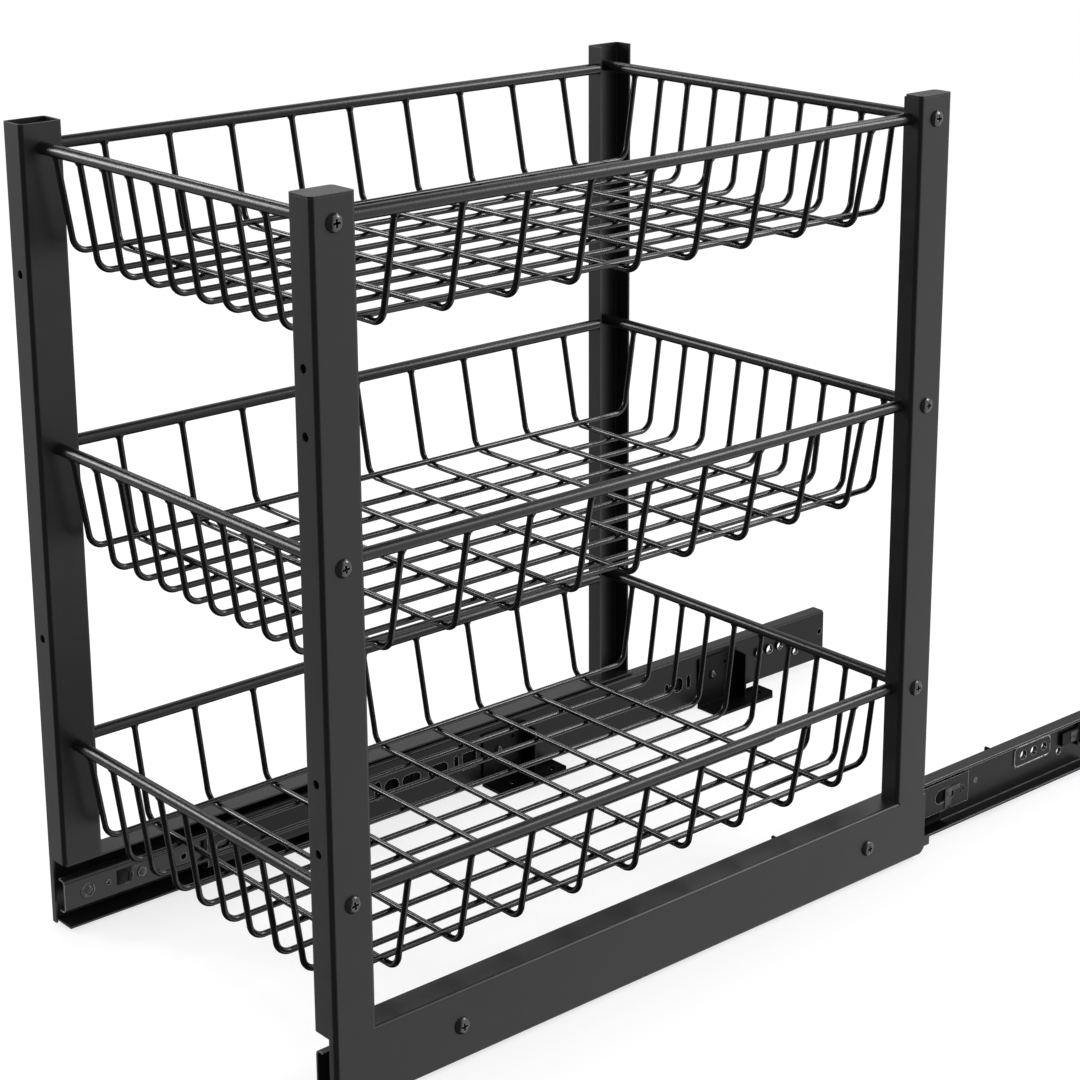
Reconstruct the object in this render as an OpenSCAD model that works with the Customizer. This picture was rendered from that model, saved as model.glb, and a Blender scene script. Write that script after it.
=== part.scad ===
// Pull-out cabinet basket: three wire baskets hung in two side frames that
// run out of a cabinet on a pair of ball-bearing slides.
// +Z is up and -Y is the way the baskets pull out. The origin is on the
// cabinet floor, midway between the two sides and midway along the unit.

/* [Side frames] */
// Width over the outer faces of the two side frames
frame_w = 345; // [325:1:365]
// Depth of a side frame, and the length of the slides
frame_d = 550; // [500:10:600]
// Height from the underside of a bottom rail to the top of a post
frame_h = 580; // [560:1:600]
// Gap between the cabinet floor and the bottom rails
rail_gap = 3; // [2.6:0.1:4]
// Sheet thickness of the posts and rails
sheet_t = 1.5; // [1.2:0.1:2]
// Width of a front post across the unit
front_post_w = 23; // [20:1:26]
// Width of a rear post across the unit
rear_post_w = 16; // [14:1:20]
// Depth of a post from front to back
post_d = 32; // [28:1:36]

/* [Baskets] */
// Heights of the three rims above the underside of the bottom rails
rim_z = [563, 356, 139]; // [130:1:570]
// Diameter of the rim rods
rod_d = 8.6; // [8:0.1:9]
// Diameter of the mesh wires
wire_d = 4.3; // [4:0.1:4.6]
// Distance from a rim rod's centre line down to the crosswise wires
basket_h = 73; // [60:1:80]
// How far the side walls lean in from the rim to the floor
side_lean = 15; // [8:1:18]
// How far the front and rear walls lean in from the rim to the floor
end_lean = 11; // [8:1:14]
// Bend radius of the wires, to their centre line
wire_bend_r = 11; // [9:0.5:13]
// Number of crosswise wires in a basket
cross_n = 9; // [7:1:11]
// Spacing of the crosswise wires
cross_pitch = 51.5; // [45:0.5:53]
// Number of lengthwise wires in a basket
length_n = 10; // [8:1:10]

/* [Slides] */
// How far the baskets stand pulled out of the cabinet
pull_out = 231; // [200:1:260]
// Height of the cabinet member of a slide
slide_h = 45.5; // [45:0.1:46]
// Thickness of a slide from one face to the other
slide_t = 12.7; // [12:0.1:13]
// Distance from a side frame's outer face in to the slide's inner face
slide_inset = 25.8; // [25:0.1:26.5]
// Number of balls in one row of a ball cage
ball_n = 11; // [6:1:14]

/* [Hidden] */

$fn = 48;
eps = 0.01;
frame_colour = [0.19, 0.19, 0.2];
slide_colour = [0.21, 0.21, 0.22];
bracket_colour = [0.1, 0.1, 0.1];
plastic_colour = [0.06, 0.06, 0.06];
ball_colour = [0.7, 0.7, 0.72];
screw_colour = [0.16, 0.16, 0.16];

// Side frames
half_w = frame_w / 2;
front_y = -(frame_d + pull_out) / 2;
rear_y = front_y + frame_d;
rail_h = 50;
rail_flange = 22;
rail_corner_r = 2.5;
rail_lip_w = 7;
rail_top = rail_gap + rail_h;
post_top = rail_gap + frame_h;
post_corner_r = 3;
cap_t = 1.5;
rail_end_cut = 6;
hook_z = 6;
hook_l = 6;
hook_h = 8;
front_hole_r = 3;
front_hole_inset = 12;
left_front_holes = [478, 219];
right_front_holes = [478, 437, 219, 173];

// Rims and mesh
rod_r = rod_d / 2;
wire_r = wire_d / 2;
rod_inset = 12;
front_rod_y = front_y + post_d / 2;
rear_rod_y = rear_y - post_d / 2;
side_rod_x = half_w - rod_inset;
basket_y = (front_rod_y + rear_rod_y) / 2;
weld_depth = 1;
bend_swell = 0.05;
bend_lap = 0.2;
layer_step = wire_d - 0.1;
side_wall_x = side_rod_x - side_lean;
edge_wire_x = side_wall_x - wire_bend_r - 1;
length_pitch = 2 * edge_wire_x / (length_n - 1);

// Screws with a low round head and a cross recess
screw_r = 2.45;
screw_hole_r = 2.5;
post_hole_r = 2.75;
head_r = 6;
head_h = 2.8;
screw_grip = 14;
small_screw_r = 2;
small_head_r = 4;
small_head_h = 2;

// Slides, measured outwards from the inner face of the cabinet member
slide_x = half_w - slide_inset;
slide_z = rail_gap + rail_h / 2;
slide_y = front_y + pull_out;
member_t = 1.2;
cabinet_r = 2.5;
cabinet_lip = 2;
member_corner = 8;
middle_u = 2.3;
middle_h = 34.9;
middle_r = 5;
middle_l = frame_d - 42;
middle_inset = 4;
middle_tail_l = 95;
middle_tail_h = 24.8;
middle_y = front_y + pull_out / 2 + middle_inset;
inner_u = 4.6;
inner_h = 25.3;
inner_r = 3.5;
inner_l = frame_d - 12;
cage_t = 0.5;
outer_cage_u = 1.5;
outer_cage_h = 39.8;
outer_cage_r = 4.5;
outer_cage_y = front_y + 311;
outer_cage_l = 284;
outer_row_l = 140;
inner_cage_u = 3.8;
inner_cage_h = 29.4;
inner_cage_r = 3.3;
inner_cage_y = front_y + frame_d * 0.38;
inner_cage_l = frame_d * 0.4;
cage_tip_u = 11.2;
ball_u = 9;
outer_ball_r = 1.75;
inner_ball_r = 1.5;
ball_gap = 0.1;
bumper_l = 11;
bumper_h = 20;
bumper_up = 4;
tongue_l = 26;
tongue_h = 11;
tongue_t = 2.8;
tongue_rib_at = 6;
tongue_rib_l = 1.8;
rear_bumper_t = 8;
front_bumper_t = 1.9;
rivet_at = 64;
rivet_r = 2;
rivet_head_r = 3.5;
rivet_head_h = 0.8;
rivet_way = 8.4;

// Punchings in the webs of the slide members, measured back from the front end.
// A slot is [distance, length, height], a hole [distance, height up, radius],
// the window [distance, height up, size] and the raised pad round three of the
// holes [distance, height up, length, height].
cabinet_slots = [
    [45, 6, 15], [58.5, 14.5, 12], [78, 18, 9.5], [105, 19.5, 10], [123.5, 4, 12.5],
    [355, 4, 8], [369, 10.5, 13], [381, 4, 12]
];
cabinet_holes = [[466, 4.5, 3.8], [479, 4.5, 3.8], [492, 4.5, 3.3], [512, -6, 3], [545, 4, 2.6]];
cabinet_window = [130, -8, 14];
cabinet_pad = [477, 4.5, 46, 18];
pad_h = 0.6;
pad_corner_r = 4.5;
middle_slots = [[14, 12, 6], [middle_l - 28, 22, 11]];
drawer_slots = [[51, 11, 9], [160, 14, 6], [260, 14, 6], [360, 14, 6]];
drawer_holes = [[36, 1.2]];
drawer_ring_at = 20;
drawer_ring_r = [2.9, 4.4];
drawer_ring_depth = 0.5;

// Floor brackets, measured back from the front end of the slide
bracket_at = [150, 392];
bracket_t = 2;
bracket_plate_l = 46;
bracket_plate_h = 45;
foot_w = 26.7;
foot_l = 74;
foot_t = 2.5;
foot_corner = 8;
foot_hole_r = 2.75;
foot_hole_x = slide_x - 14;
foot_holes = [20, 62];
bracket_rib_w = 12;
bracket_screw_y = 16;

// Screws through a bottom rail into the drawer member
rail_screw_at = [100, 486];
spacer_r = 5;

// ---------- shared shapes ----------

// Points of an arc, in n steps
function arc(cx, cy, r, a0, a1, n = 6) =
    [for (i = [0:n]) let (a = a0 + (a1 - a0) * i / n) [cx + r * cos(a), cy + r * sin(a)]];

// Outline of a rectangle with round corners, centred on the origin
function round_rect(w, d, r) = concat(
    arc(w / 2 - r, d / 2 - r, r, 0, 90),
    arc(-w / 2 + r, d / 2 - r, r, 90, 180),
    arc(-w / 2 + r, -d / 2 + r, r, 180, 270),
    arc(w / 2 - r, -d / 2 + r, r, 270, 360)
);

// Outline of a channel: web at x = 0, flanges out to x = w, lips turned in at their tips
function channel(w, h, t, r, lip) = concat(
    [[w, h / 2 - lip], [w, h / 2]],
    arc(r, h / 2 - r, r, 90, 180),
    arc(r, -h / 2 + r, r, 180, 270),
    [[w, -h / 2], [w, -h / 2 + lip], [w - t, -h / 2 + lip], [w - t, -h / 2 + t]],
    arc(r, -h / 2 + r, r - t, 270, 180),
    arc(r, h / 2 - r, r - t, 180, 90),
    [[w - t, h / 2 - t], [w - t, h / 2 - lip]]
);

// Extrudes an outline drawn in X and Z from y0 to y1
module along_y(y0, y1) {
    translate([0, y1, 0])
    rotate([90, 0, 0])
    linear_extrude(height = y1 - y0)
    children();
}

// A round bar along X from x0 to x1
module bar_x(x0, x1, r) {
    translate([x0, 0, 0])
    rotate([0, 90, 0])
    cylinder(h = x1 - x0, r = r);
}

// A round bar along Y from y0 to y1
module bar_y(y0, y1, r) {
    translate([0, y0, 0])
    rotate([-90, 0, 0])
    cylinder(h = y1 - y0, r = r);
}

// A slot through a sheet that lies across X, l long along Y and w high, its
// shorter ends round
module slot_x(l, w) {
    along = max(l - w, 0) / 2;
    up = max(w - l, 0) / 2;
    translate([-slide_t / 2, 0, 0])
    rotate([90, 0, 90])
    linear_extrude(height = slide_t)
    union() {
        square([l > w ? 2 * along : l, l > w ? w : 2 * up], center = true);
        translate([-along, -up]) circle(r = min(l, w) / 2);
        translate([along, up]) circle(r = min(l, w) / 2);
    }
}

// Draws its children on the right-hand side, or mirrored on the left
module on_side(side) {
    mirror([side == "left" ? 1 : 0, 0, 0])
    children();
}

// A screw along -X with its head's underside at x = 0 and its shank l long
module cross_screw(r, l, r_head, h_head) {
    crown_r = (r_head * r_head + h_head * h_head) / (2 * h_head);
    crown_a = asin(r_head / crown_r) * 0.97;
    slot = r_head * 0.09;
    arm = r_head * 0.5;
    rotate([0, 90, 0])
    difference() {
        rotate_extrude()
        polygon(concat(
            [[0, -l], [r, -l], [r, 0], [r_head, 0]],
            arc(0, h_head - crown_r, crown_r, 90 - crown_a, 90, 10)
        ));
        translate([0, 0, h_head * 0.3])
        linear_extrude(height = h_head)
        polygon([
            [arm, slot], [slot, slot], [slot, arm], [-slot, arm], [-slot, slot], [-arm, slot],
            [-arm, -slot], [-slot, -slot], [-slot, -arm], [slot, -arm], [slot, -slot], [arm, -slot]
        ]);
    }
}

// ---------- slides ----------

module cabinet_member(side) {
    color(slide_colour)
    on_side(side)
    difference() {
        union() {
            translate([slide_x, 0, slide_z])
            along_y(slide_y, slide_y + frame_d)
            polygon(channel(slide_t, slide_h, member_t, cabinet_r, cabinet_lip));
            translate([slide_x + member_t / 2, slide_y + cabinet_pad[0], slide_z + cabinet_pad[1]])
            rotate([90, 0, 90])
            linear_extrude(height = member_t / 2 + pad_h)
            polygon(round_rect(cabinet_pad[2], cabinet_pad[3], pad_corner_r));
        }
        translate([slide_x, slide_y, slide_z]) {
            for (s = cabinet_slots) translate([0, s[0], 0]) slot_x(s[1], s[2]);
            for (h = cabinet_holes) translate([0, h[0], h[1]]) bar_x(-eps, member_t * 2, h[2]);
            translate([-eps, cabinet_window[0], cabinet_window[1]])
            cube([member_t * 2, cabinet_window[2], cabinet_window[2]]);
            for (y = bracket_at) {
                translate([0, y + bracket_screw_y, 0])
                bar_x(-eps, member_t * 2, small_screw_r + 0.05);
            }
        }
        translate([slide_x - 1, slide_y + frame_d, slide_z - slide_h / 2])
        rotate([90, 0, 90])
        linear_extrude(height = slide_t + 2)
        polygon([[1, -1], [1, member_corner], [-member_corner, -1]]);
    }
}

// An angle bracket that stands on the cabinet floor and carries the slide's web
module floor_bracket(side, at) {
    color(bracket_colour)
    on_side(side)
    translate([slide_x, slide_y + at, 0])
    difference() {
        union() {
            translate([-bracket_t, 0, 0]) cube([bracket_t, bracket_plate_l, bracket_plate_h]);
            translate([-foot_w, 0, 0])
            linear_extrude(height = foot_t)
            polygon([
                [0, 0], [foot_w, 0], [foot_w, foot_l], [foot_corner, foot_l],
                [0, foot_l - foot_corner], [0, foot_corner]
            ]);
            translate([-bracket_t - bracket_rib_w, bracket_plate_l - bracket_t, foot_t - eps])
            cube([bracket_rib_w + eps, bracket_t, bracket_plate_h - foot_t - 2]);
        }
        for (y = foot_holes) {
            translate([foot_hole_x - slide_x, y, -1])
            cylinder(h = foot_t + 2, r = foot_hole_r);
        }
        translate([0, bracket_screw_y, slide_z])
        bar_x(-bracket_t - 1, 1, small_screw_r + 0.05);
        translate([0, bracket_screw_y + 15, slide_z + 8])
        bar_x(-bracket_t - 1, 1, 1.5);
    }
}

module bracket_screws() {
    color(screw_colour)
    for (side = ["left", "right"], at = bracket_at) {
        on_side(side)
        translate([slide_x - bracket_t, slide_y + at + bracket_screw_y, slide_z])
        rotate([0, 0, 180])
        cross_screw(small_screw_r, bracket_t + member_t, small_head_r, small_head_h);
    }
}

// The plastic stop in the back end of the cabinet member, on a flat tongue that
// clips it to the web
module rear_bumper(side) {
    color(plastic_colour)
    on_side(side)
    translate([slide_x + member_t, slide_y + frame_d, slide_z + bumper_up])
    difference() {
        union() {
            translate([0, -bumper_l, -bumper_h / 2]) cube([rear_bumper_t, bumper_l, bumper_h]);
            translate([0, -bumper_l - tongue_l, -tongue_h / 2])
            cube([tongue_t, tongue_l + 1, tongue_h]);
            translate([0, -bumper_l - tongue_rib_at, -bumper_h / 2])
            cube([tongue_t, tongue_rib_l, bumper_h]);
        }
        translate([0, -5, 0]) bar_x(-1, rear_bumper_t + 1, 2.6);
    }
}

// A strip of sheet, l long, that keeps the balls of two raceways apart over the
// row_l from its front end
module ball_cage(side, y, l, row_l, u, h, r, ball_r) {
    color(slide_colour)
    on_side(side)
    translate([slide_x, 0, slide_z])
    difference() {
        translate([u, 0, 0])
        along_y(y, y + l)
        polygon(channel(cage_tip_u - u, h, cage_t, r, cage_t));
        for (i = [0:ball_n - 1]) {
            translate([ball_u, y + row_l * (i + 0.5) / ball_n, -h])
            cylinder(h = 2 * h, r = ball_r + ball_gap);
        }
    }
}

module cage_balls(side, y, row_l, h, ball_r) {
    color(ball_colour)
    on_side(side)
    for (i = [0:ball_n - 1], k = [-1, 1]) {
        translate([
            slide_x + ball_u, y + row_l * (i + 0.5) / ball_n, slide_z + k * (h - cage_t) / 2
        ])
        sphere(r = ball_r);
    }
}

// Its back end is cut down to a flat tongue, which carries the latch
module intermediate_member(side) {
    color(slide_colour)
    on_side(side)
    difference() {
        translate([slide_x + middle_u, 0, slide_z])
        along_y(middle_y, middle_y + middle_l)
        polygon(channel(slide_t - 0.5 - middle_u, middle_h, member_t, middle_r, member_t));
        translate([slide_x + middle_u, middle_y, slide_z]) {
            for (s = middle_slots) translate([0, s[0], 0]) slot_x(s[1], s[2]);
            translate([0, middle_l - middle_tail_l, 0])
            difference() {
                translate([-eps, 0, -slide_h / 2]) cube([slide_t, middle_tail_l + 1, slide_h]);
                translate([-1, -1, -middle_tail_h / 2])
                cube([member_t + 1, middle_tail_l + 3, middle_tail_h]);
            }
        }
    }
}

// The plastic stop on the front end of the intermediate member, with a way
// through for the rivets' heads
module front_bumper(side) {
    color(plastic_colour)
    on_side(side)
    translate([slide_x + middle_u + 0.1, middle_y - middle_inset + 0.5, slide_z])
    difference() {
        translate([0, 0, -bumper_h / 2]) cube([front_bumper_t, middle_inset - 0.5, bumper_h]);
        translate([front_bumper_t / 2, -1, -rivet_way / 2])
        cube([front_bumper_t, middle_inset + 1, rivet_way]);
    }
}

module drawer_member(side) {
    color(slide_colour)
    on_side(side)
    difference() {
        translate([slide_x + inner_u, 0, slide_z])
        along_y(front_y, front_y + inner_l)
        polygon(channel(slide_t - 1 - inner_u, inner_h, member_t, inner_r, member_t));
        translate([slide_x + inner_u, front_y, slide_z]) {
            for (h = drawer_holes) translate([0, h[0], 0]) bar_x(-eps, member_t * 2, h[1]);
            translate([0, drawer_ring_at, 0])
            difference() {
                bar_x(-eps, drawer_ring_depth, drawer_ring_r[1]);
                bar_x(-1, drawer_ring_depth + 1, drawer_ring_r[0]);
            }
            for (s = drawer_slots) translate([0, s[0], 0]) slot_x(s[1], s[2]);
            for (y = rail_screw_at) translate([0, y, 0]) bar_x(-eps, member_t * 2, screw_hole_r);
            translate([0, rivet_at, 0]) bar_x(-eps, member_t * 2, rivet_r + 0.05);
        }
    }
}

// Rivets near the front end of each drawer member
module slide_rivets() {
    color(screw_colour)
    for (side = ["left", "right"]) {
        on_side(side)
        translate([slide_x + inner_u, front_y + rivet_at, slide_z]) {
            bar_x(-rivet_head_h, member_t + rivet_head_h, rivet_r);
            bar_x(-rivet_head_h, 0, rivet_head_r);
            bar_x(member_t, member_t + rivet_head_h, rivet_head_r);
        }
    }
}

// ---------- side frames ----------

// A channel that opens inwards. Its web is bent round at the front to a lip,
// and under the posts its top corner is filled with weld and ground flush.
module bottom_rail(side) {
    color(frame_colour)
    on_side(side)
    difference() {
        union() {
            translate([half_w, 0, slide_z])
            mirror([1, 0, 0])
            along_y(front_y + post_corner_r, rear_y)
            polygon(channel(rail_flange, rail_h, sheet_t, rail_corner_r, sheet_t));
            translate([half_w - post_corner_r, front_y + post_corner_r, rail_gap])
            linear_extrude(height = rail_h)
            polygon(concat(
                [[post_corner_r, eps], [post_corner_r - sheet_t, eps]],
                arc(0, 0, post_corner_r - sheet_t, 0, -90),
                [
                    [post_corner_r - rail_lip_w, sheet_t - post_corner_r],
                    [post_corner_r - rail_lip_w, -post_corner_r]
                ],
                arc(0, 0, post_corner_r, -90, 0)
            ));
            for (y = [front_y, rear_y - post_d]) {
                translate([half_w - rail_corner_r, y + post_corner_r, rail_top - rail_corner_r])
                cube([rail_corner_r, post_d - 2 * post_corner_r, rail_corner_r]);
            }
            translate([half_w - sheet_t, rear_y - eps, rail_gap + hook_z])
            cube([sheet_t, hook_l, hook_h]);
        }
        for (y = rail_screw_at) {
            translate([0, front_y + y, slide_z])
            bar_x(half_w - sheet_t - 1, half_w + 1, post_hole_r);
        }
        translate([half_w - rail_flange - 1, rear_y, rail_gap])
        rotate([90, 0, 90])
        linear_extrude(height = rail_flange + 2)
        polygon([[1, -1], [1, rail_end_cut], [-rail_end_cut, -1]]);
    }
}

module rail_spacers() {
    color(slide_colour)
    for (side = ["left", "right"], y = rail_screw_at) {
        on_side(side)
        translate([0, front_y + y, slide_z])
        difference() {
            bar_x(slide_x + inner_u + member_t, half_w - sheet_t, spacer_r);
            bar_x(slide_x, half_w, post_hole_r);
        }
    }
}

module rail_screws() {
    color(screw_colour)
    for (side = ["left", "right"], y = rail_screw_at) {
        on_side(side)
        translate([half_w, front_y + y, slide_z])
        cross_screw(screw_r, half_w - slide_x - inner_u, head_r, head_h);
    }
}

// A front post is a square tube, a rear post a channel that opens inwards
module front_post(side, top, front_holes) {
    color(frame_colour)
    on_side(side)
    difference() {
        translate([half_w - front_post_w / 2, front_y + post_d / 2, rail_top])
        linear_extrude(height = top - rail_top)
        difference() {
            polygon(round_rect(front_post_w, post_d, post_corner_r));
            polygon(round_rect(
                front_post_w - 2 * sheet_t, post_d - 2 * sheet_t, post_corner_r - sheet_t
            ));
        }
        for (z = rim_z) {
            translate([0, front_rod_y, rail_gap + z]) {
                bar_x(half_w - sheet_t - 1, half_w + 1, post_hole_r);
                bar_x(half_w - front_post_w - 1, half_w - front_post_w + sheet_t + 1, post_hole_r);
            }
        }
        for (z = front_holes) {
            translate([half_w - front_hole_inset, 0, rail_gap + z])
            bar_y(front_y - 1, front_y + sheet_t + 1, front_hole_r);
        }
    }
}

module rear_post(side, top) {
    color(frame_colour)
    on_side(side)
    difference() {
        translate([half_w, rear_rod_y, rail_top])
        rotate([0, 0, 180])
        linear_extrude(height = top - rail_top)
        polygon(channel(rear_post_w, post_d, sheet_t, post_corner_r, sheet_t));
        for (z = rim_z) {
            translate([0, rear_rod_y, rail_gap + z])
            bar_x(half_w - sheet_t - 1, half_w + 1, post_hole_r);
        }
    }
}

module post_cap(w, y) {
    color(frame_colour)
    translate([half_w - w / 2, y, post_top - cap_t])
    linear_extrude(height = cap_t)
    polygon(round_rect(w, post_d, post_corner_r));
}

// ---------- baskets ----------

// A crosswise rod, tapped at both ends for the screws in the posts
module cross_rod(tier, y, half_l) {
    color(frame_colour)
    translate([0, y, rail_gap + rim_z[tier]])
    difference() {
        bar_x(-half_l, half_l, rod_r);
        for (side = ["left", "right"]) {
            on_side(side)
            bar_x(half_l - screw_grip, half_l + 1, screw_hole_r);
        }
    }
}

module front_rod(tier) {
    cross_rod(tier, front_rod_y, half_w - front_post_w);
}

module rear_rod(tier) {
    cross_rod(tier, rear_rod_y, half_w - sheet_t);
}

module side_rod(tier, side) {
    color(frame_colour)
    on_side(side)
    translate([side_rod_x, 0, rail_gap + rim_z[tier]])
    bar_y(front_y + post_d, rear_y - post_d, rod_r);
}

// A wire bent to a wide U in X and Z: it leans in by `lean` over `drop`,
// and its ends stand `top_half` either side of the middle at z = 0.
// The bends are a hair thicker than the straight runs, which reach into them.
module bent_wire(top_half, lean, drop) {
    lean_a = atan(lean / drop);
    tangent = wire_bend_r * tan((90 - lean_a) / 2);
    floor_half = top_half - lean - tangent;
    leg_l = drop / cos(lean_a) - tangent;
    end_cut = (rod_r - weld_depth) / cos(lean_a);
    translate([0, 0, -drop]) bar_x(-floor_half - bend_lap, floor_half + bend_lap, wire_r);
    for (m = [0, 1]) {
        mirror([m, 0, 0])
        translate([floor_half, 0, wire_bend_r - drop])
        rotate([90, 0, 0]) {
            rotate([0, 0, -90])
            rotate_extrude(angle = 90 - lean_a)
            translate([wire_bend_r, 0])
            circle(r = wire_r + bend_swell);
            rotate([0, 0, -lean_a])
            translate([wire_bend_r, -bend_lap, 0])
            rotate([-90, 0, 0])
            cylinder(h = leg_l - end_cut + bend_lap, r = wire_r);
        }
    }
}

module crosswise_wires(tier) {
    color(frame_colour)
    for (i = [0:cross_n - 1]) {
        translate([0, basket_y + (i - (cross_n - 1) / 2) * cross_pitch, rail_gap + rim_z[tier]])
        bent_wire(side_rod_x, side_lean, basket_h);
    }
}

// The lengthwise wires lie under the crosswise ones, but the two outermost
// lie on top of them, in their bends
module lengthwise_wires(tier) {
    color(frame_colour)
    for (i = [0:length_n - 1]) {
        edge = i == 0 || i == length_n - 1;
        translate([(i - (length_n - 1) / 2) * length_pitch, basket_y, rail_gap + rim_z[tier]])
        rotate([0, 0, 90])
        bent_wire(
            (rear_rod_y - front_rod_y) / 2, end_lean, basket_h + (edge ? -layer_step : layer_step)
        );
    }
}

module basket_screws(tier) {
    color(screw_colour)
    for (side = ["left", "right"]) {
        on_side(side)
        translate([half_w, 0, rail_gap + rim_z[tier]]) {
            translate([0, front_rod_y, 0])
            cross_screw(screw_r, front_post_w + screw_grip - 2, head_r, head_h);
            translate([0, rear_rod_y, 0])
            cross_screw(screw_r, sheet_t + screw_grip - 2, head_r, head_h);
        }
    }
}

// ---------- assembly ----------

cabinet_member("left");  // left_cabinet_member
cabinet_member("right");  // right_cabinet_member
floor_bracket("left", bracket_at[0]);  // left_front_bracket
floor_bracket("left", bracket_at[1]);  // left_rear_bracket
floor_bracket("right", bracket_at[0]);  // right_front_bracket
floor_bracket("right", bracket_at[1]);  // right_rear_bracket
bracket_screws();
rear_bumper("left");  // left_rear_bumper
rear_bumper("right");  // right_rear_bumper
ball_cage(  // left_outer_cage
        "left", outer_cage_y, outer_cage_l, outer_row_l, outer_cage_u, outer_cage_h,
        outer_cage_r, outer_ball_r
    );
ball_cage(  // right_outer_cage
        "right", outer_cage_y, outer_cage_l, outer_row_l, outer_cage_u, outer_cage_h,
        outer_cage_r, outer_ball_r
    );
cage_balls("left", outer_cage_y, outer_row_l, outer_cage_h, outer_ball_r);  // left_outer_balls
cage_balls("right", outer_cage_y, outer_row_l, outer_cage_h, outer_ball_r);  // right_outer_balls
intermediate_member("left");  // left_intermediate_member
intermediate_member("right");  // right_intermediate_member
front_bumper("left");  // left_front_bumper
front_bumper("right");  // right_front_bumper
ball_cage(  // left_inner_cage
        "left", inner_cage_y, inner_cage_l, inner_cage_l, inner_cage_u, inner_cage_h,
        inner_cage_r, inner_ball_r
    );
ball_cage(  // right_inner_cage
        "right", inner_cage_y, inner_cage_l, inner_cage_l, inner_cage_u, inner_cage_h,
        inner_cage_r, inner_ball_r
    );
cage_balls("left", inner_cage_y, inner_cage_l, inner_cage_h, inner_ball_r);  // left_inner_balls
cage_balls("right", inner_cage_y, inner_cage_l, inner_cage_h, inner_ball_r);  // right_inner_balls
drawer_member("left");  // left_drawer_member
drawer_member("right");  // right_drawer_member
slide_rivets();
rail_spacers();
rail_screws();
bottom_rail("left");  // left_bottom_rail
bottom_rail("right");  // right_bottom_rail
front_post("left", post_top, left_front_holes);  // left_front_post
front_post("right", post_top - cap_t, right_front_holes);  // right_front_post
rear_post("left", post_top);  // left_rear_post
rear_post("right", post_top - cap_t);  // right_rear_post
post_cap(front_post_w, front_rod_y);  // right_front_post_cap
post_cap(rear_post_w, rear_rod_y);  // right_rear_post_cap
front_rod(0);  // top_front_rod
rear_rod(0);  // top_rear_rod
side_rod(0, "left");  // top_left_rod
side_rod(0, "right");  // top_right_rod
crosswise_wires(0);  // top_crosswise_wires
lengthwise_wires(0);  // top_lengthwise_wires
basket_screws(0);  // top_basket_screws
front_rod(1);  // middle_front_rod
rear_rod(1);  // middle_rear_rod
side_rod(1, "left");  // middle_left_rod
side_rod(1, "right");  // middle_right_rod
crosswise_wires(1);  // middle_crosswise_wires
lengthwise_wires(1);  // middle_lengthwise_wires
basket_screws(1);  // middle_basket_screws
front_rod(2);  // bottom_front_rod
rear_rod(2);  // bottom_rear_rod
side_rod(2, "left");  // bottom_left_rod
side_rod(2, "right");  // bottom_right_rod
crosswise_wires(2);  // bottom_crosswise_wires
lengthwise_wires(2);  // bottom_lengthwise_wires
basket_screws(2);  // bottom_basket_screws
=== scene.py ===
import math

import bmesh
import bpy
from mathutils import Euler, Matrix, Vector, noise


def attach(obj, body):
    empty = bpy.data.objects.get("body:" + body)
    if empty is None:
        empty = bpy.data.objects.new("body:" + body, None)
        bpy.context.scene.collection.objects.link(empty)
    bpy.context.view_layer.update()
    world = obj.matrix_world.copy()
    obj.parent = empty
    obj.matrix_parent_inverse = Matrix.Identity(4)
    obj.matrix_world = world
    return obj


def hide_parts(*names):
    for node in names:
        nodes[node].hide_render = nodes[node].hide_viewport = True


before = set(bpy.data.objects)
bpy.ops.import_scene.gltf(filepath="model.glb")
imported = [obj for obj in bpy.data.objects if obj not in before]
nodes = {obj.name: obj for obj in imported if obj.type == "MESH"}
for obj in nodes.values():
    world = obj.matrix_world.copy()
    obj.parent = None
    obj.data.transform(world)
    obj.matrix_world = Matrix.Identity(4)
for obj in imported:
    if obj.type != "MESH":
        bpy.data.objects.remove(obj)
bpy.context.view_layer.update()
scene = bpy.context.scene


# ---------- camera ----------
# A long lens at eye height off the right-hand front corner of the unit. The view
# window is slid down a little, so that the posts stay nearly upright.

camera = bpy.data.objects.new("camera", bpy.data.cameras.new("camera"))
scene.collection.objects.link(camera)
scene.camera = camera
camera.data.sensor_width = 36
camera.data.lens = 84.6
camera.data.shift_y = -0.15
lens_at = Vector((1.312, -1.206, 0.863))
turned, tipped, rolled = (math.radians(a) for a in (49.17, 15.45, -0.32))
facing = Euler((math.pi / 2 - tipped, 0, turned)).to_matrix() @ Matrix.Rotation(rolled, 3, "Z")
camera.matrix_world = Matrix.Translation(lens_at) @ facing.to_4x4()


# ---------- studio ----------
# White paper lies under the unit. A tent of black cloth stands round it, with five
# openings to white panels, so that the dark coat shows its edges. Only the mirror
# image of the tent counts: it casts no shadow and dims nothing.


class Tone:
    """A value or colour in a material, so that sums of it read as plain sums."""

    def __init__(self, finish, socket):
        self.finish = finish
        self.socket = socket

    def sum(self, operation, first, second):
        return self.finish.node("Math", {"operation": operation}, {0: first, 1: second})

    def __add__(self, other):
        return self.sum("ADD", self, other)

    def __radd__(self, other):
        return self.sum("ADD", other, self)

    def __sub__(self, other):
        return self.sum("SUBTRACT", self, other)

    def __rsub__(self, other):
        return self.sum("SUBTRACT", other, self)

    def __mul__(self, other):
        return self.sum("MULTIPLY", self, other)

    def __rmul__(self, other):
        return self.sum("MULTIPLY", other, self)


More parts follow.
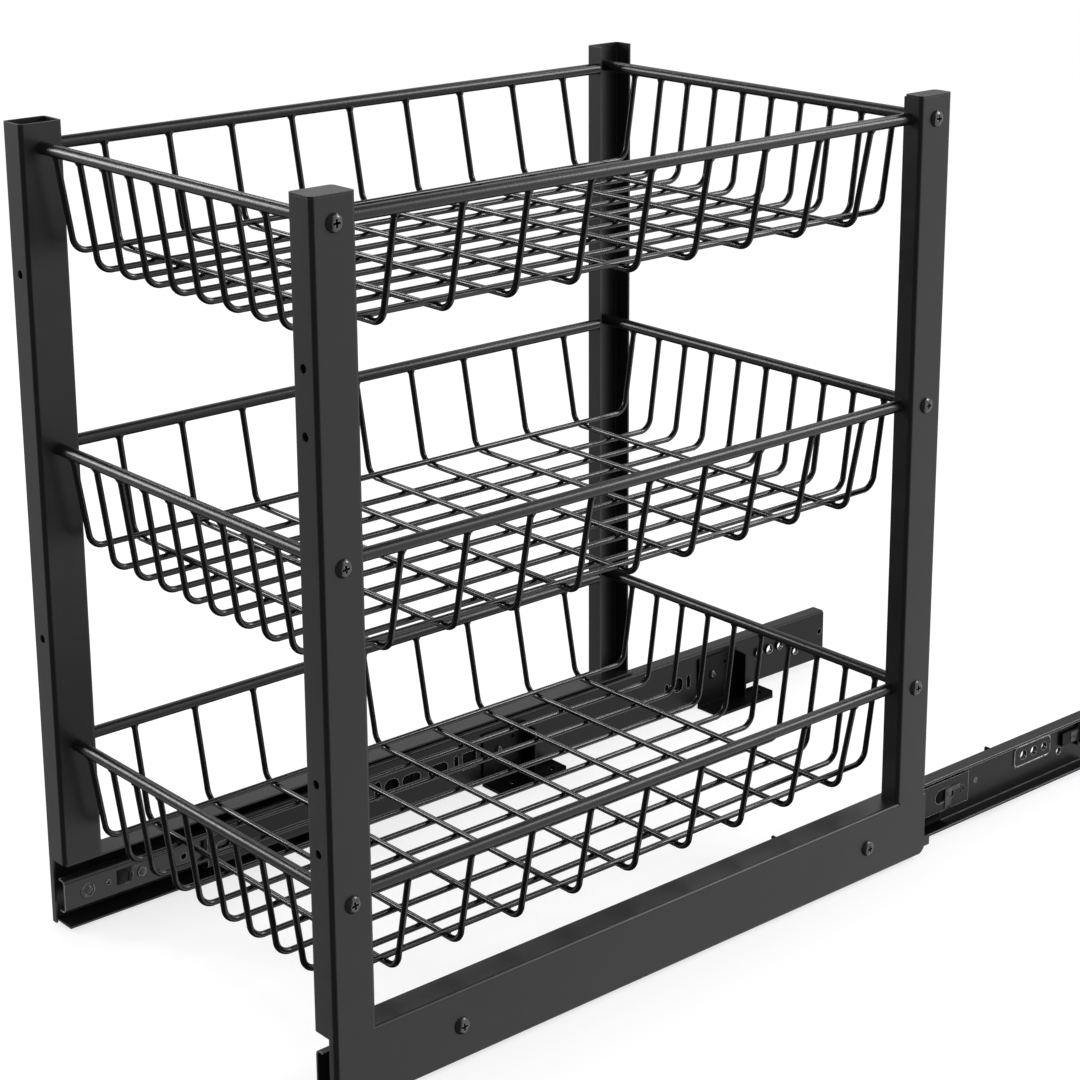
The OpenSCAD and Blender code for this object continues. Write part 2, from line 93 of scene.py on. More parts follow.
class Finish:
    """A material under construction: plain numbers go on the shader, Tones are linked."""

    def __init__(self, name, tree=None):
        if tree is None:
            self.material = bpy.data.materials.new(name)
            self.material.use_nodes = True
            tree = self.material.node_tree
        self.tree = tree
        self.shader = tree.nodes.get("Principled BSDF")

    def node(self, kind, settings=None, values=None, output=0):
        made = self.tree.nodes.new("ShaderNode" + kind)
        for name, setting in (settings or {}).items():
            if name == "stops":
                ramp = made.color_ramp.elements
                while len(ramp) < len(setting):
                    ramp.new(1.0)
                for element, (at, shade) in zip(ramp, setting):
                    element.position = at
                    element.color = (*shade, 1) if isinstance(shade, tuple) else (shade, shade, shade, 1)
            else:
                setattr(made, name, setting)
        self.fill(made, values or {})
        return Tone(self, made.outputs[output])

    def fill(self, made, values):
        for name, value in values.items():
            if isinstance(value, Tone):
                self.tree.links.new(value.socket, made.inputs[name])
            else:
                made.inputs[name].default_value = value

    def place(self):
        return self.node("TexCoord", output="Object")

    def stretched(self, x, y, z):
        return self.node("Mapping", {}, {"Vector": self.place(), "Scale": (x, y, z)})

    def grain(self, scale, detail=2, where=None):
        values = {"Vector": where or self.place(), "Scale": scale, "Detail": detail}
        return self.node("TexNoise", {}, values)

    def ramp(self, value, *stops):
        return self.node("ValToRGB", {"stops": stops}, {"Fac": value})

    def mix(self, factor, first, second):
        values = {"Factor": factor, 6: first, 7: second}
        return self.node("Mix", {"data_type": "RGBA"}, values, 2)

    def relief(self, height, depth, over=None):
        values = {"Height": height, "Distance": depth}
        if over is not None:
            values["Normal"] = over
        return self.node("Bump", {}, values)

    def shade(self, **values):
        self.fill(self.shader, {name.replace("_", " "): value for name, value in values.items()})
        return self


def light_card(name, strength):
    card = Finish(name)
    glow = (strength, strength, strength, 1)
    card.fill(card.shader, {"Base Color": (0, 0, 0, 1), "Specular IOR Level": 0})
    return card.shade(Emission_Color=glow, Emission_Strength=1).material


floor = bpy.data.objects.new("floor", bpy.data.meshes.new("floor"))
paper_half = 30
sheet = [(x * paper_half, y * paper_half, 0) for x, y in ((-1, -1), (1, -1), (1, 1), (-1, 1))]
floor.data.from_pydata(sheet, [], [(0, 1, 2, 3)])
paper = Finish("paper")
seen = paper.node("LightPath", output="Is Camera Ray")
paper_grey, paper_glow = (0.36, 0.36, 0.36, 1), (0.72, 0.72, 0.72, 1)
paper.fill(paper.shader, {"Base Color": paper_grey, "Specular IOR Level": 0})
paper.shade(Emission_Color=paper.mix(seen, (0, 0, 0, 1), paper_glow), Emission_Strength=1)
floor.data.materials.append(paper.material)
floor.visible_glossy = False

tent = bpy.data.objects.new("tent", bpy.data.meshes.new("tent"))
tent_r, tent_z, cell, cloth = 7.0, 0.3, 5, 0.05
# Each opening: azimuth of its middle, half its width, its foot, its top, the panel's light
openings = (
    (-62, 17, -40, 42, 0.62),
    (146, 46, -60, 48, 1),
    (-138, 42, 28, 52, 1),
    (-156, 16, 15, 30, 1),
    (-128, 12, 3, 28, 0.7),
)


def on_tent(azimuth, height):
    a, e = math.radians(azimuth), math.radians(height)
    out = tent_r * math.cos(e)
    return out * math.sin(a), -out * math.cos(a), tent_z + tent_r * math.sin(e)


def card_behind(azimuth, height):
    """The number of the card that a cell of the tent shows, 0 for the cloth."""
    card = 0
    for i, (mid, half, low, high, _) in enumerate(openings, 1):
        if abs((azimuth - mid + 180) % 360 - 180) < half and low < height < high:
            card = i
    return card


walls, corners, cards = [], [], []
for azimuth in range(-180, 180, cell):
    for height in range(-90, 90, cell):
        cards.append(card_behind(azimuth + cell / 2, height + cell / 2))
        walls.append(tuple(range(len(corners), len(corners) + 4)))
        corners += [on_tent(azimuth, height), on_tent(azimuth + cell, height)]
        corners += [on_tent(azimuth + cell, height + cell), on_tent(azimuth, height + cell)]
tent.data.from_pydata(corners, [], walls)
for i, light in enumerate([cloth] + [opening[-1] for opening in openings]):
    tent.data.materials.append(light_card(f"card_{i}", light))
for face, card in zip(tent.data.polygons, cards):
    face.material_index = card
tent.visible_camera = tent.visible_diffuse = tent.visible_shadow = tent.visible_transmission = False

for piece in (floor, tent):
    scene.collection.objects.link(piece)

lamp_r, lit_spot = 2.6, Vector((0, -0.1, 0.3))
# Each lamp: name, azimuth, height, power, width, height of its face
lamps = (
    ("left_lamp", -52, 24, 18, 0.5, 0.9),
    ("right_lamp", 139, 34, 18, 0.5, 0.9),
    ("high_left_lamp", -96, 44, 3.5, 0.5, 0.3),
    ("high_back_lamp", 176, 50, 3.5, 0.5, 0.3),
)
for name, azimuth, height, power, wide, tall in lamps:
    lamp = bpy.data.objects.new(name, bpy.data.lights.new(name, "AREA"))
    scene.collection.objects.link(lamp)
    lamp.data.shape = "RECTANGLE"
    lamp.data.size, lamp.data.size_y, lamp.data.energy = wide, tall, power
    at = Vector(on_tent(azimuth, height)) * (lamp_r / tent_r)
    aim = (lit_spot - at).to_track_quat("-Z", "Y").to_matrix().to_4x4()
    lamp.matrix_world = Matrix.Translation(at) @ aim

surround = bpy.data.worlds.new("surround")
scene.world = surround
surround.use_nodes = True
air = Finish("air", surround.node_tree)
room_light = 0.8
rays = air.tree.nodes.new("ShaderNodeLightPath")
straight = sum(
    (Tone(air, rays.outputs[ray]) for ray in ("Is Camera Ray", "Is Glossy Ray", "Is Transmission Ray")), 0.0
)
strength = air.node("Clamp", {}, {"Value": straight * (1 - room_light) + room_light})
air.fill(surround.node_tree.nodes["Background"], {"Color": (1, 1, 1, 1), "Strength": strength})
scene.view_settings.view_transform = "Standard"


# ---------- side frames ----------
# Each side frame is a pressed C-channel rail with a tube post at the front and a channel
# post at the back, welded on and ground flush. It is sprayed with satin black powder and
# baked, which leaves a fine orange peel and a thinner coat on the sharp edges; the coat
# is painted lighter there, partly as that wear and partly as painted highlight.

half_w, rail_top = 0.1725, 0.053


def edge_wear_and_highlight(finish, reach, near=0.16):
    """A mask of sharp outer edges within reach, none on a flat face, broken up by a grain. The coats paint
    these edges lighter: partly wear, partly painted highlight.
    """
    rounded = finish.node("Bevel", {"samples": 4}, {"Radius": reach})
    true = finish.node("NewGeometry", output="True Normal")
    turned_by = 1 - finish.node("VectorMath", {"operation": "DOT_PRODUCT"}, {0: rounded, 1: true}, "Value")
    return finish.ramp(turned_by + 0.06 * finish.grain(160, 3), (0.055, 0.0), (near, 1.0))


def ground_weld(finish):
    """1 everywhere but on the flush welds between posts and rail, where no edge is left."""
    spot = finish.node("SeparateXYZ", {}, {"Vector": finish.place()}, "Z")
    level = finish.node("Math", {"operation": "COMPARE"}, {0: spot, 1: rail_top, 2: 0.0016})
    across = finish.node("SeparateXYZ", {}, {"Vector": finish.place()}, "X")
    out = finish.node("Math", {"operation": "COMPARE"}, {0: across * across, 1: half_w ** 2, 2: 0.0004})
    return 1 - level * out


def powder_coat(name, shade, roughness, peel, gloss=0.5):
    """Baked powder: cloudy by a few percent, with the dimples that the melt leaves."""
    coat = Finish(name)
    cloud = coat.ramp(coat.grain(14, 4), (0.3, 0.88), (0.7, 1.12))
    speck = coat.ramp(coat.grain(1900, 2), (0.35, 0.94), (0.7, 1.1))
    edge = edge_wear_and_highlight(coat, 0.0006) * ground_weld(coat)
    body = cloud * speck * shade
    tint = coat.node("CombineColor", {}, {"Red": body, "Green": body, "Blue": body * 1.03})
    # Sharp edges painted lighter: partly the thinner worn coat, partly painted highlight.
    rubbed_and_highlit = coat.mix(edge * 0.75, tint, (shade * 7, shade * 7, shade * 7.1, 1))
    dimples = coat.relief(coat.grain(620, 1), peel * 0.00003)
    waves = coat.relief(coat.grain(95, 1), peel * 0.00005, dimples)
    coat.shade(Base_Color=rubbed_and_highlit, Roughness=roughness + 0.08 * coat.grain(60, 3) - 0.04, Normal=waves)
    coat.shade(Specular_IOR_Level=gloss)
    return coat.material


def ease(node, width):
    """Rounds the pressed or cut edges of a CAD node, without touching its own mesh."""
    weld = node.modifiers.new("weld", "WELD")
    weld.merge_threshold = 0.00002
    flat = node.modifiers.new("flat", "DECIMATE")
    flat.decimate_type = "DISSOLVE"
    flat.angle_limit = math.radians(0.5)
    soft = node.modifiers.new("edges", "BEVEL")
    soft.limit_method = "ANGLE"
    soft.angle_limit = math.radians(32)
    soft.width = width
    soft.segments = 2
    soft.use_clamp_overlap = True
    smooth = node.modifiers.new("faces", "WEIGHTED_NORMAL")
    smooth.keep_sharp = False
    smooth.weight = 50


def dress(material, *names):
    for name in names:
        nodes[name].data.materials.clear()
        nodes[name].data.materials.append(material)


frame_coat = powder_coat("frame_coat", 0.0115, 0.36, 1.0)
frame_pieces = ["right_front_post_cap", "right_rear_post_cap"]
for side in ("left", "right"):
    frame_pieces += [f"{side}_bottom_rail", f"{side}_front_post", f"{side}_rear_post"]
dress(frame_coat, *frame_pieces)
for name in frame_pieces:
    ease(nodes[name], 0.00014)


# ---------- basket rods and wires ----------
# Drawn steel rod and wire. The wires are bent into flat-bottomed U shapes, crossed in
# two layers and resistance-welded to each other and up to the rods, which leaves a
# small nugget at every joint. The basket is powder coated after welding.

rim = [0.566, 0.359, 0.142]
tiers = ("top", "middle", "bottom")
rod_r, basket_h = 0.0043, 0.073
front_rod_y, rear_rod_y, side_rod_x = -0.3745, 0.1435, 0.1605
mid_y = (front_rod_y + rear_rod_y) / 2
cross_n, cross_gap = 9, 0.0515
length_n, length_gap = 10, 0.0296667
side_lean, end_lean = 0.015, 0.011
outer_drop, inner_drop = 0.0709, 0.0751

rod_coat = powder_coat("rod_coat", 0.009, 0.3, 1.4)
wire_coat = powder_coat("wire_coat", 0.006, 0.2, 1.2, 0.6)
dress(rod_coat, *(f"{tier}_{at}_rod" for tier in tiers for at in ("front", "rear", "left", "right")))
dress(wire_coat, *(f"{tier}_{way}_wires" for tier in tiers for way in ("crosswise", "lengthwise")))


def add_piece(name, shape, material, body, stands_for=()):
    """Makes a piece from a bmesh, dresses it and lets it ride on its CAD body."""
    piece = bpy.data.objects.new(name, bpy.data.meshes.new(name))
    shape.to_mesh(piece.data)
    shape.free()
    for face in piece.data.polygons:
        face.use_smooth = True
    piece.data.materials.append(material)
    scene.collection.objects.link(piece)
    if stands_for:
        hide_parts(*stands_for)
    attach(piece, body)
    return piece


def lathe(shape, profile, frame_at, around, wobble=0.0):
    """Turns (radius, height) points about the local Z of frame_at, a little uneven if asked."""
    rings = []
    for radius, height in profile:
        ring = []
        for i in range(around):
            a = math.tau * i / around
            spot = frame_at @ Vector((radius * math.cos(a), radius * math.sin(a), height))
            push = wobble * noise.noise(spot * 900) if wobble else 0.0
            out = frame_at.to_3x3() @ Vector((math.cos(a), math.sin(a), 0))
            ring.append(shape.verts.new(spot + push * out))
        rings.append(ring)
    for low, high in zip(rings, rings[1:]):
        for i in range(around):
            shape.faces.new((low[i], low[(i + 1) % around], high[(i + 1) % around], high[i]))
    return rings


def standing_on(at, way):
    """A frame at that point with its Z along way."""
    return Matrix.Translation(at) @ Vector(way).to_track_quat("Z", "Y").to_matrix().to_4x4()


skirt = [
    (0.00212, -0.0024), (0.00228, -0.0016), (0.0026, -0.0008),
    (0.0031, 0.0), (0.0034, 0.0009), (0.0034, 0.0021),
]
cross_ys = [mid_y + (i - (cross_n - 1) / 2) * cross_gap for i in range(cross_n)]
length_xs = [(i - (length_n - 1) / 2) * length_gap for i in range(length_n)]
nugget = Vector((0.0021, 0.0021, 0.0011))


def rod_weld(shape, at, way):
    """The skirt of weld metal where a wire that runs along way meets the rod round at."""
    lathe(shape, skirt, standing_on(at - way * rod_r, way), 18, 0.0004)


for tier, top in zip(tiers, rim):
    ends = bmesh.new()
    for y in cross_ys:
        for side in (-1, 1):
            way = Vector((side * side_lean, 0, basket_h)).normalized()
            rod_weld(ends, Vector((side * side_rod_x, y, top)), way)
    for x in length_xs:
        for end, y in ((-1, front_rod_y), (1, rear_rod_y)):
            way = Vector((0, end * end_lean, basket_h)).normalized()
            rod_weld(ends, Vector((x, y, top)), way)
    add_piece(f"{tier}_rod_welds", ends, wire_coat, "basket_carriage")
    spots = bmesh.new()
    for i, x in enumerate(length_xs):
        contact = top - (outer_drop if i in (0, length_n - 1) else inner_drop)
        for y in cross_ys:
            made = bmesh.ops.create_icosphere(spots, subdivisions=2, radius=1.0)["verts"]
            for v in made:
                way = v.co.copy()
                uneven = 1 + 0.25 * noise.noise(way * 1.7 + Vector((x, y, top)) * 300)
                v.co = Vector((x, y, contact)) + way * nugget * uneven
    add_piece(f"{tier}_crossing_welds", spots, wire_coat, "basket_carriage")


# ---------- screws ----------
# Pan-head machine screws, cold-headed with a cross recess and blackened in hot
# oxide. They run into the tapped ends of the rods, hold the rails to the slides and
# the floor brackets to the cabinet members.

oxide = Finish("black_oxide")
turned_marks = oxide.grain(40, 2, oxide.stretched(1, 60, 60))
# Crown rim and recess edges painted light: partly worn oxide, partly painted highlight.
rubbed_and_highlit_crown = edge_wear_and_highlight(oxide, 0.0005)
worn_and_highlit = rubbed_and_highlit_crown * 0.7 + 0.15 * oxide.grain(300, 2)
oxide.shade(
    Base_Color=oxide.mix(worn_and_highlit, (0.05, 0.05, 0.052, 1), (0.6, 0.6, 0.6, 1)),
    Metallic=0.85,
    Roughness=0.15 + 0.12 * oxide.grain(500, 3),
    Normal=oxide.relief(turned_marks, 0.00001),
)
# Painted shade: the cross recesses are painted near black, as the shade inside them.
recess_shade = Finish("recess_painted_shade")
recess_shade.shade(
    Base_Color=recess_shade.ramp(recess_shade.grain(700, 2), (0.3, 0.002), (0.7, 0.006)),
    Roughness=0.7 + 0.2 * recess_shade.grain(900, 2),
    Specular_IOR_Level=0.15,
)
dress(oxide.material, *(f"{tier}_basket_screws" for tier in tiers))
dress(oxide.material, "rail_screws", "bracket_screws", "slide_rivets")


def cross_loop(shape, arm, half, height):
    """The twelve-cornered outline of a cross recess at one depth."""
    outline = [(arm, half), (half, half), (half, arm), (-half, arm), (-half, half), (-arm, half)]
    outline += [(-x, -y) for x, y in outline]
    return [shape.verts.new((x, y, height)) for x, y in outline]


def screw_shape(head_r, head_h, shank_r, shank_l):
    """A screw along +Z, its head's underside at 0, as a mesh with the recess cut in."""
    dome = [(head_r * r, head_h * h) for r, h in (
        (0.0001, 1.0), (0.25, 0.985), (0.48, 0.93), (0.68, 0.81), (0.84, 0.62),
        (0.94, 0.4), (0.99, 0.2), (1.0, 0.08), (0.985, 0.0),
    )]
    pitch, crest, root = 0.0009, -0.0005, -0.00095
    thread = [(shank_r, -0.0002)]
    for i in range(int(shank_l / pitch) - 1):
        thread += [(shank_r, crest - i * pitch), (shank_r * 0.86, root - i * pitch)]
    tip = [(shank_r * 0.8, -shank_l), (0.00001, -shank_l)]
    blank = bmesh.new()
    rings = lathe(blank, dome + [(shank_r, 0.0)] + thread + tip, Matrix.Identity(4), 40)
    blank.faces.new(reversed(rings[0]))
    blank.faces.new(rings[-1])
    bmesh.ops.recalc_face_normals(blank, faces=blank.faces)
    punch = bmesh.new()
    wide = cross_loop(punch, head_r * 0.48, head_r * 0.14, head_h + 0.0005)
    deep = cross_loop(punch, head_r * 0.38, head_r * 0.12, head_h * 0.12)
    punch.faces.new(wide)
    punch.faces.new(reversed(deep))
    for i in range(len(wide)):
        punch.faces.new((wide[i - 1], wide[i], deep[i], deep[i - 1]))
    bmesh.ops.recalc_face_normals(punch, faces=punch.faces)
    made = []
    for shape in (blank, punch):
        mesh = bpy.data.meshes.new("trial")
        shape.to_mesh(mesh)
        shape.free()
        made.append(bpy.data.objects.new("trial", mesh))
        scene.collection.objects.link(made[-1])
    cut = made[0].modifiers.new("recess", "BOOLEAN")
    cut.operation = "DIFFERENCE"
    cut.object = made[1]
    soft = made[0].modifiers.new("edges", "BEVEL")
    soft.limit_method = "ANGLE"
    soft.angle_limit = math.radians(48)
    soft.width = head_r * 0.022
    soft.segments = 2
    result = bpy.data.meshes.new_from_object(made[0].evaluated_get(bpy.context.evaluated_depsgraph_get()))
    # Faces inside the cross recess take the painted shade.
    for face in result.polygons:
        in_recess = 0 < face.center.z < head_h * 0.72 and face.center.xy.length < head_r * 0.5
        face.material_index = 1 if in_recess else 0
    for trial in made:
        bpy.data.objects.remove(trial)
    return result


def screws(name, mesh, places, body):
    """Copies of one screw at (point, outward way, turn) places, as one piece."""
    row = bmesh.new()
    for at, way, turn in places:
        first = len(row.verts)
        row.from_mesh(mesh)
        row.verts.ensure_lookup_table()
        spun = standing_on(at, way) @ Matrix.Rotation(math.radians(turn), 4, "Z")
        bmesh.ops.transform(row, matrix=spun, verts=row.verts[first:])
    piece = add_piece(name + "_heads", row, oxide.material, body, [name])
    piece.data.materials.append(recess_shade.material)
    piece.data.set_sharp_from_angle(angle=math.radians(40))


long_screw = screw_shape(0.006, 0.0028, 0.00245, 0.012)
short_screw = screw_shape(0.004, 0.002, 0.002, 0.0032)
slide_x, slide_z, bracket_t = 0.1467, 0.028, 0.002
drawer_y, middle_y, cabinet_y = -0.3905, -0.271, -0.1595
for t, (tier, top) in enumerate(zip(tiers, rim)):
    places = [
        ((side * half_w, y, top), (side, 0, 0), 3 * t + 3 * side - 5 * end)
        for side in (-1, 1) for end, y in enumerate((front_rod_y, rear_rod_y))
    ]
    screws(f"{tier}_basket_screws", long_screw, places, "basket_carriage")
places = [
    ((side * half_w, drawer_y + at, slide_z), (side, 0, 0), 4 * side + at * 9)
    for side in (-1, 1) for at in (0.1, 0.486)
]
screws("rail_screws", long_screw, places, "basket_carriage")
places = [
    ((side * (slide_x - bracket_t), cabinet_y + at + 0.016, slide_z), (-side, 0, 0), 8 * side + at * 60)
    for side in (-1, 1) for at in (0.15, 0.392)
]
screws("bracket_screws", short_screw, places, "cabinet_slides")


# ---------- slides ----------
# Each slide is three roll-formed steel members, one inside the other on caged balls in
# grease, with a thin black electro-coat whose cut edges are painted lighter, partly as steel
# worn through and partly as painted highlight. Turned spacers stand between the drawer
# members and the rails.


def thin_coat(name, dark, light, gloss, painted_shade_span=None):
    """A thin glossy coat over rolling marks; cut edges are painted lighter, partly as steel worn
    through and partly as painted highlight. Inside the optional span along Y given last it is painted black
    and dull: painted shade."""
    coat = Finish(name)
    rolled = coat.grain(1, 4, coat.stretched(900, 5, 900))
    bare_and_highlit = edge_wear_and_highlight(coat, 0.0008, 0.12)
    shade = coat.ramp(0.6 * coat.grain(30, 4) + 0.4 * rolled, (0.3, dark), (0.7, light))
    # Cut edges painted lighter: partly steel worn through, partly painted highlight.
    colour, dull = coat.mix(bare_and_highlit * 0.95, shade, (0.5, 0.5, 0.505, 1)), 0.27 + 0.16 * rolled
    # Painted shade: inside the span the colour goes near black and dull, standing in for the shade in the
    # slide.
    if painted_shade_span:
        along = coat.node("SeparateXYZ", {}, {"Vector": coat.place()}, "Y")
        middle, reach = sum(painted_shade_span) / 2, (painted_shade_span[1] - painted_shade_span[0]) / 2
        unshaded = 1 - coat.node("Math", {"operation": "COMPARE"}, {0: along, 1: middle, 2: reach})
        colour = coat.mix(unshaded, (0.0008, 0.0008, 0.0008, 1), colour)
        bare_and_highlit, dull = bare_and_highlit * unshaded, 0.95 - unshaded * (0.95 - dull)
    coat.shade(
        Base_Color=colour,
        Metallic=bare_and_highlit * 0.8,
        Specular_IOR_Level=gloss,
        Roughness=dull,
        Normal=coat.relief(rolled, 0.000012, coat.relief(coat.grain(70, 2), 0.00004)),
    )
    return coat.material


slide_coat = thin_coat("slide_coat", 0.0028, 0.0055, 0.28)
drawer_coat = thin_coat("drawer_coat", 0.007, 0.012, 0.6)
# The intermediate member's coat, its middle stretch painted black as shade inside the slide.
race_coat_painted_shade = thin_coat("race_coat_painted_shade", 0.0028, 0.0055, 0.28, (-0.16, 0.136))
for member, coat in (("cabinet", slide_coat), ("intermediate", race_coat_painted_shade), ("drawer", drawer_coat)):
    for side in ("left", "right"):
        dress(coat, f"{side}_{member}_member")
        ease(nodes[f"{side}_{member}_member"], 0.00025)


class Relief:
    """A small pressed or moulded piece on the web of one slide, built in the slide's own
    measures: u outwards from the back of its web, y along it and z up from its middle."""

    def __init__(self, side):
        self.side = side
        self.shape = bmesh.new()

    def spot(self, u, y, z):
        return Vector((self.side * (slide_x + u), y, slide_z + z))

    def plate(self, u, thick, outline, soft=0.00015):
        """A flat blank from u to u + thick, its rim rounded over."""
        low = [self.shape.verts.new(self.spot(u, y, z)) for y, z in outline]
        high = [self.shape.verts.new(self.spot(u + thick, y, z)) for y, z in outline]
        n = len(outline)
        faces = [self.shape.faces.new(low), self.shape.faces.new(reversed(high))]
        for i in range(n):
            j = (i + 1) % n
            faces.append(self.shape.faces.new((low[i], high[i], high[j], low[j])))
        bmesh.ops.recalc_face_normals(self.shape, faces=faces)
        rim = [e for f in faces[:2] for e in f.edges]
        bmesh.ops.bevel(self.shape, geom=rim, offset=soft, segments=2, affect="EDGES", profile=0.5)

    def bead(self, u, path, half, high, closed=True):
        """A half-round bead, high as measured outwards (or inwards if negative), along path."""
        rows = []
        n, steps = len(path), 6
        for i, (y, z) in enumerate(path):
            before = path[(i - 1) % n] if closed or i else path[i]
            after = path[(i + 1) % n] if closed or i < n - 1 else path[i]
            way = Vector((after[0] - before[0], after[1] - before[1])).normalized()
            across = Vector((-way.y, way.x))
            row = []
            for k in range(steps + 1):
                a = math.pi * k / steps
                off = across * (half * math.cos(a))
                row.append(self.shape.verts.new(self.spot(u + high * math.sin(a), y + off.x, z + off.y)))
            rows.append(row)
        for i in range(n if closed else n - 1):
            one, two = rows[i], rows[(i + 1) % n]
            for k in range(steps):
                self.shape.faces.new((one[k], one[k + 1], two[k + 1], two[k]))

    def boss(self, u, y, z, profile, around=24, capped=True):
        """A turned form, (radius, height) outwards from u."""
        base = Matrix.Translation(self.spot(u, y, z)) @ Matrix.Rotation(self.side * math.pi / 2, 4, "Y")
        rings = lathe(self.shape, profile, base, around)
        if capped:
            self.shape.faces.new(rings[-1])

    def done(self, name, material, body):
        bmesh.ops.recalc_face_normals(self.shape, faces=self.shape.faces)
        piece = add_piece(name, self.shape, material, body)
        piece.data.set_sharp_from_angle(angle=math.radians(42))


def box_path(y, z, long, high, r, steps=6):
    """The outline of a round-cornered oblong about (y, z)."""
    path = []
    for my, mz, first in ((1, -1, -90), (1, 1, 0), (-1, 1, 90), (-1, -1, 180)):
        for k in range(steps + 1):
            a = math.radians(first + 90 * k / steps)
            mid = y + my * (long / 2 - r), z + mz * (high / 2 - r)
            path.append((mid[0] + r * math.cos(a), mid[1] + r * math.sin(a)))
    return path


def ring_path(y, z, r, first=0, last=360, steps=28):
    turns = steps if last - first == 360 else steps + 1
    angles = [math.radians(first + (last - first) * k / steps) for k in range(turns)]
    return [(y + r * math.cos(a), z + r * math.sin(a)) for a in angles]


bead_coat = Finish("bead_coat")
rubbed_top = bead_coat.grain(240, 3)
bead_coat.shade(
    Base_Color=bead_coat.ramp(rubbed_top, (0.35, 0.035), (0.65, 0.09)),
    Metallic=0.5,
    Roughness=0.24 + 0.15 * rubbed_top,
    Normal=bead_coat.relief(bead_coat.grain(500, 2), 0.00001),
)
# Pad rim painted bright: partly steel worn on the raised bead, partly painted highlight.
rim_wear_and_highlight_coat = Finish("rubbed_and_highlit_rim")
rim_wear = rim_wear_and_highlight_coat.grain(300, 3)
rim_wear_and_highlight_coat.shade(
    Base_Color=rim_wear_and_highlight_coat.ramp(rim_wear, (0.35, 0.14), (0.6, 0.5)),
    Metallic=0.8,
    Roughness=0.2 + 0.2 * rim_wear,
    Normal=rim_wear_and_highlight_coat.relief(rim_wear, 0.00001),
)
pad_up, pad_face, drawer_face = 0.0045, 0.00178, 0.00462
drawn_holes = (
    (0.466, pad_up, 0.0038), (0.479, pad_up, 0.0038), (0.492, pad_up, 0.0033), (0.512, -0.006, 0.003),
)
cup = [(0.0032, 0.0), (0.003, -0.0003), (0.0024, -0.00045), (0.00001, -0.00048)]
for side, tag in ((-1, "left"), (1, "right")):
    pad = Relief(side)
    pad.bead(pad_face, box_path(cabinet_y + 0.477, pad_up, 0.0445, 0.0166, 0.0042), 0.0006, 0.0004)
    pad.done(f"{tag}_mounting_pad_rim", rim_wear_and_highlight_coat.material, "cabinet_slides")
    collars = Relief(side)
    for along, up, r in drawn_holes:
        wall = [(r + 0.0008, 0.0001), (r + 0.0007, -0.0012), (r + 0.0004, -0.0019), (r, -0.002), (r, 0.0001)]
        collars.boss(0.0, cabinet_y + along, up, wall, capped=False)
    collars.done(f"{tag}_drawn_collars", slide_coat, "cabinet_slides")
    dimple = Relief(side)
    dimple.bead(drawer_face, ring_path(drawer_y + 0.0185, 0.0, 0.0052), 0.0007, -0.0005)
    dimple.boss(drawer_face, drawer_y + 0.0185, 0.0, cup)
    dimple.bead(drawer_face, ring_path(drawer_y + 0.036, 0.0005, 0.0019, steps=18), 0.0004, -0.00025)
    dimple.done(f"{tag}_drawer_dimples", drawer_coat, "basket_carriage")


# The ball cages are painted near black with almost no sheen, as painted shade inside the slides.
cage_painted_shade = Finish("cage_painted_shade")
cage_marks = cage_painted_shade.grain(1, 3, cage_painted_shade.stretched(700, 8, 700))
cage_painted_shade.shade(
    Base_Color=cage_painted_shade.ramp(cage_marks, (0.3, 0.002), (0.75, 0.005)),
    Metallic=0.0,
    Specular_IOR_Level=0.03,
    Roughness=0.3 + 0.2 * cage_marks,
    Normal=cage_painted_shade.relief(cage_marks, 0.00001),
)
races = [f"{side}_{race}_" for side in ("left", "right") for race in ("outer", "inner")]
dress(cage_painted_shade.material, *(race + "cage" for race in races))

ball_steel = Finish("ball_steel")
greasy = ball_steel.ramp(ball_steel.grain(800, 3), (0.4, 0.06), (0.7, 0.22))
ball_steel.shade(
    Base_Color=ball_steel.ramp(ball_steel.grain(500, 2), (0.3, 0.5), (0.7, 0.66)),
    Metallic=1.0,
    Roughness=greasy,
)
dress(ball_steel.material, *(race + "balls" for race in races))

spacer_steel = Finish("spacer_steel")
lathe_marks = spacer_steel.grain(1, 2, spacer_steel.stretched(2500, 60, 60))
spacer_steel.shade(
    Base_Color=spacer_steel.ramp(lathe_marks, (0.3, 0.22), (0.7, 0.34)),
    Metallic=1.0,
    Roughness=0.28 + 0.15 * lathe_marks,
)
dress(spacer_steel.material, "rail_spacers")


# ---------- plastic stops ----------
# Moulded black nylon: a bumper with a tongue at the back of each cabinet member and
# a thin one at the front of each intermediate member. Matt, with a spark-eroded skin.

nylon = Finish("nylon")
spark = nylon.grain(1500, 2)
moulded = nylon.ramp(nylon.grain(45, 3), (0.3, 0.0035), (0.7, 0.006))
nylon.shade(
    # Edges painted lighter: partly wear, partly painted highlight.
    Base_Color=nylon.mix(edge_wear_and_highlight(nylon, 0.0005) * 0.4, moulded, (0.05, 0.05, 0.052, 1)),
    Specular_IOR_Level=0.22,
    Roughness=0.46 + 0.14 * spark,
    Normal=nylon.relief(spark, 0.00002),
)
stops = [f"{side}_{end}_bumper" for side in ("left", "right") for end in ("rear", "front")]
dress(nylon.material, *stops)
for name in stops:
    ease(nodes[name], 0.0003)
